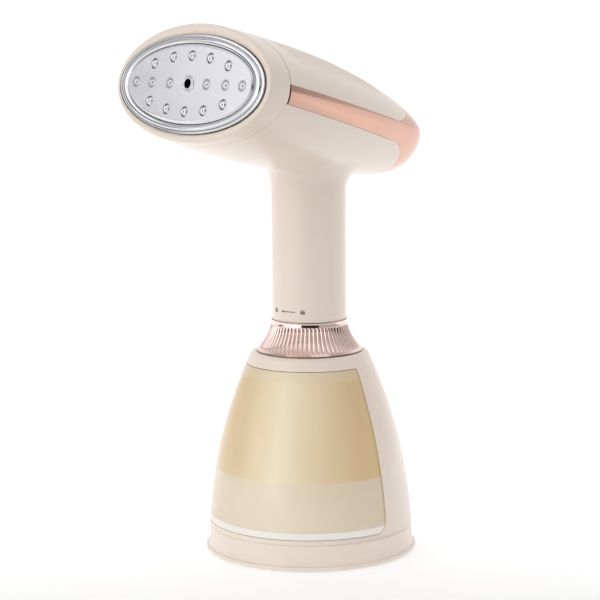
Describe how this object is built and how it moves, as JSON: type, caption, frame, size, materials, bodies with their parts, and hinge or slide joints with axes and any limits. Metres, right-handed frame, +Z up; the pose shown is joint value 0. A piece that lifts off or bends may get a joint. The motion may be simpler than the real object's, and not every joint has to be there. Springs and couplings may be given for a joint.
{
  "type": "handheld garment steamer",
  "caption": "Handheld garment steamer with a wide tilted steam head, a round handle and a water tank that doubles as its stand.",
  "frame": {"origin": "centre of the rubber foot's flat underside, on the axis of the tank and handle", "axes": "+Z up along the handle, -Y towards the steam plate, +X to the right seen from behind the handle looking at the back of the plate"},
  "size_m": [0.114, 0.1644, 0.2849],
  "materials": {
    "cream": "warm cream gloss moulding",
    "tank_amber": "translucent amber polycarbonate",
    "pale_plastic": "natural white plastic",
    "rose_gold": "rose-gold metallised, polished",
    "rose_mirror": "pale rose metallised, mirror polish",
    "chrome_rim": "polished chrome",
    "satin_steel": "satin steel",
    "cast_aluminium": "as cast",
    "plated_steel": "zinc plated",
    "silicone": "translucent silicone",
    "black_rubber": "matt rubber",
    "black_plastic": "matt black plastic",
    "copper_coil": "enamelled copper winding",
    "brass_blade": "stamped brass",
    "board": "solder-masked board",
    "wire_jacket": "silicone wire jacket",
    "print_grey": "pad-printed mark",
    "lens": "tinted lens",
    "red_plastic": "moulded red plastic"
  },
  "bodies": {
    "tank": {"base_ring": "cream", "foot_pad": "black_rubber", "tank_frame": "cream", "tank_floor": "pale_plastic", "water_tank": "tank_amber", "neck_insert": "pale_plastic"},
    "lock_ring": {"lock_ring": "rose_mirror", "lock_ring_core": "pale_plastic"},
    "plunger": {"pump_plunger": "plated_steel"},
    "button": {"steam_button": "cream"},
    "switch_plunger": {"switch_plunger": "red_plastic"},
    "handset": {"main_housing": "cream", "handle_neck": "cream", "handle_shell": "cream", "front_bezel": "cream", "top_cover": "cream", "trim_band": "rose_gold", "lock_mark": "print_grey", "plate_rim": "chrome_rim", "steam_plate": "satin_steel", "plate_seal": "silicone", "centre_nozzle": "chrome_rim", "boiler_block": "cast_aluminium", "boiler_gasket": "silicone", "boiler_lid": "cast_aluminium", "boiler_holder": "black_plastic", "boiler_screws": "plated_steel", "heating_element": "plated_steel", "heater_terminals": "brass_blade", "thermostat": "black_plastic", "thermal_fuse": "pale_plastic", "inlet_elbow": "plated_steel", "head_chassis": "pale_plastic", "chassis_screws": "plated_steel", "end_cap": "pale_plastic", "spigot_seal": "black_rubber", "dip_tube": "silicone", "strainer": "plated_steel", "suction_hose": "silicone", "pressure_hose": "silicone", "pump_body": "pale_plastic", "pump_coil": "copper_coil", "pump_yoke": "plated_steel", "pump_spring": "plated_steel", "circuit_board": "board", "microswitch": "black_plastic", "button_frame": "rose_gold", "button_springs": "plated_steel", "indicator_lens": "lens", "indicator_led": "pale_plastic", "cord_gland": "black_rubber", "terminal_block": "pale_plastic", "wires": "wire_jacket"}
  },
  "joints": [
    {"name": "lock_turn", "type": "hinge", "parent": "tank", "child": "lock_ring", "pos_m": [0, 0, 0.115], "axis": [0, 0, 1], "range_deg": [0, 40]},
    {"name": "handset_lift", "type": "slide", "parent": "tank", "child": "handset", "axis": [0, 0, 1], "range_m": [0, 0.115]},
    {"name": "button_press", "type": "slide", "parent": "handset", "child": "button", "axis": [0, -1, 0], "range_m": [0, 0.002], "stiffness_N_per_m": 900, "springref_m": -0.002, "deforming": ["button_springs"]},
    {"name": "switch_press", "type": "slide", "parent": "handset", "child": "switch_plunger", "axis": [0, -1, 0], "range_m": [0, 0.002]},
    {"name": "pump_stroke", "type": "slide", "parent": "handset", "child": "plunger", "axis": [0, 0, 1], "range_m": [-0.0015, 0.0015], "stiffness_N_per_m": 600, "deforming": ["pump_spring"]}
  ],
  "couplings": [
    {"joint": "switch_press", "follows": "button_press", "ratio": 1}
  ]
}
